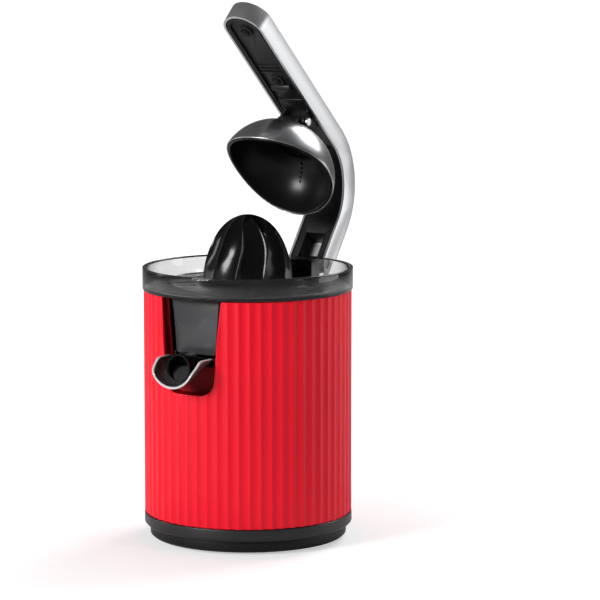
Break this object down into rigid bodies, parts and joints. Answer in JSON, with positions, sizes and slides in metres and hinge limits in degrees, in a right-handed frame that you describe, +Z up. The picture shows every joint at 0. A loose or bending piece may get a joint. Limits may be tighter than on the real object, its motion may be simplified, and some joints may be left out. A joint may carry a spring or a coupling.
{
  "type": "citrus press juicer",
  "caption": "Electric lever-arm citrus press: fluted red motor base, smoked juice collector with a tilting spout, ribbed reamer cone and a hinged pressing dome shown open.",
  "frame": {"origin": "on the reamer cone's axis, at the floor the feet rest on", "axes": "+Z up along the cone axis, -Y towards the spout, +Y towards the arm hinge, +X to the right seen from the rear"},
  "size_m": [0.17, 0.2364, 0.4327],
  "materials": {
    "red": "satin-gloss red moulding",
    "graphite": "dark grey gloss moulding",
    "black": "black gloss moulding",
    "smoked": "smoked clear moulding",
    "silver": "satin silver",
    "steel": "polished to satin steel",
    "rubber": "matte",
    "nylon": "natural nylon",
    "copper": "bronze bush and copper windings",
    "board": "green circuit board"
  },
  "bodies": {
    "housing": {"base_plate": "black", "foot_1": "rubber", "foot_2": "rubber", "foot_3": "rubber", "foot_4": "rubber", "base_screw_1": "steel", "base_screw_2": "steel", "base_screw_3": "steel", "base_screw_4": "steel", "base_ring": "graphite", "body_shell": "red", "cord_gland": "rubber", "inner_deck": "black", "shaft_seal": "rubber", "gearbox_housing": "black", "gearbox_cover": "black", "gearbox_screw_1": "steel", "gearbox_screw_2": "steel", "gearbox_screw_3": "steel", "spindle_bush": "copper", "motor_can": "steel", "motor_end_cap": "black", "stator": "copper", "layshaft": "steel", "return_spring": "steel", "micro_switch": "black", "control_board": "board", "juice_collector": "smoked", "pulp_sieve": "black", "hinge_bracket": "black", "hinge_pin": "steel"},
    "motor_rotor": {"motor_shaft": "steel", "rotor_core": "steel", "motor_pinion": "steel", "cooling_fan": "nylon"},
    "layshaft_cluster": {"layshaft_gear": "nylon"},
    "press_carriage": {"thrust_collar": "nylon", "switch_plunger": "nylon"},
    "cone_drive": {"output_shaft": "steel", "output_gear": "nylon", "juicing_cone": "black"},
    "spout_body": {"spout": "smoked"},
    "arm": {"arm_shell": "silver", "arm_liner": "black", "liner_screw_1": "steel", "liner_screw_2": "steel", "dome_bracket": "black", "dome_pin": "silver"},
    "dome": {"dome_shell": "steel", "press_cup": "black", "dome_knuckle": "black", "dome_screw": "steel"}
  },
  "joints": [
    {"name": "arm_hinge", "type": "hinge", "parent": "housing", "child": "arm", "pos_m": [0, 0.091, 0.212], "axis": [1, 0, 0], "range_deg": [0, 46]},
    {"name": "dome_tilt", "type": "hinge", "parent": "arm", "child": "dome", "pos_m": [0, 0.06667, 0.33322], "axis": [1, 0, 0], "range_deg": [-8, 0]},
    {"name": "cone_press", "type": "slide", "parent": "housing", "child": "press_carriage", "axis": [0, 0, -1], "range_m": [0, 0.002], "stiffness_N_per_m": 3000, "springref_m": -0.004, "deforming": ["return_spring"]},
    {"name": "cone_spin", "type": "hinge", "parent": "press_carriage", "child": "cone_drive", "pos_m": [0, 0, 0.205], "axis": [0, 0, 1], "continuous": true},
    {"name": "layshaft_spin", "type": "hinge", "parent": "housing", "child": "layshaft_cluster", "pos_m": [0, 0.035, 0.125], "axis": [0, 0, 1], "continuous": true},
    {"name": "motor_spin", "type": "hinge", "parent": "housing", "child": "motor_rotor", "pos_m": [0, 0, 0.08], "axis": [0, 0, 1], "continuous": true},
    {"name": "spout_tilt", "type": "hinge", "parent": "housing", "child": "spout_body", "pos_m": [0, -0.066, 0.1532], "axis": [-1, 0, 0], "range_deg": [0, 30]}
  ],
  "couplings": [
    {"joint": "layshaft_spin", "follows": "cone_spin", "ratio": -3},
    {"joint": "motor_spin", "follows": "cone_spin", "ratio": 18}
  ]
}
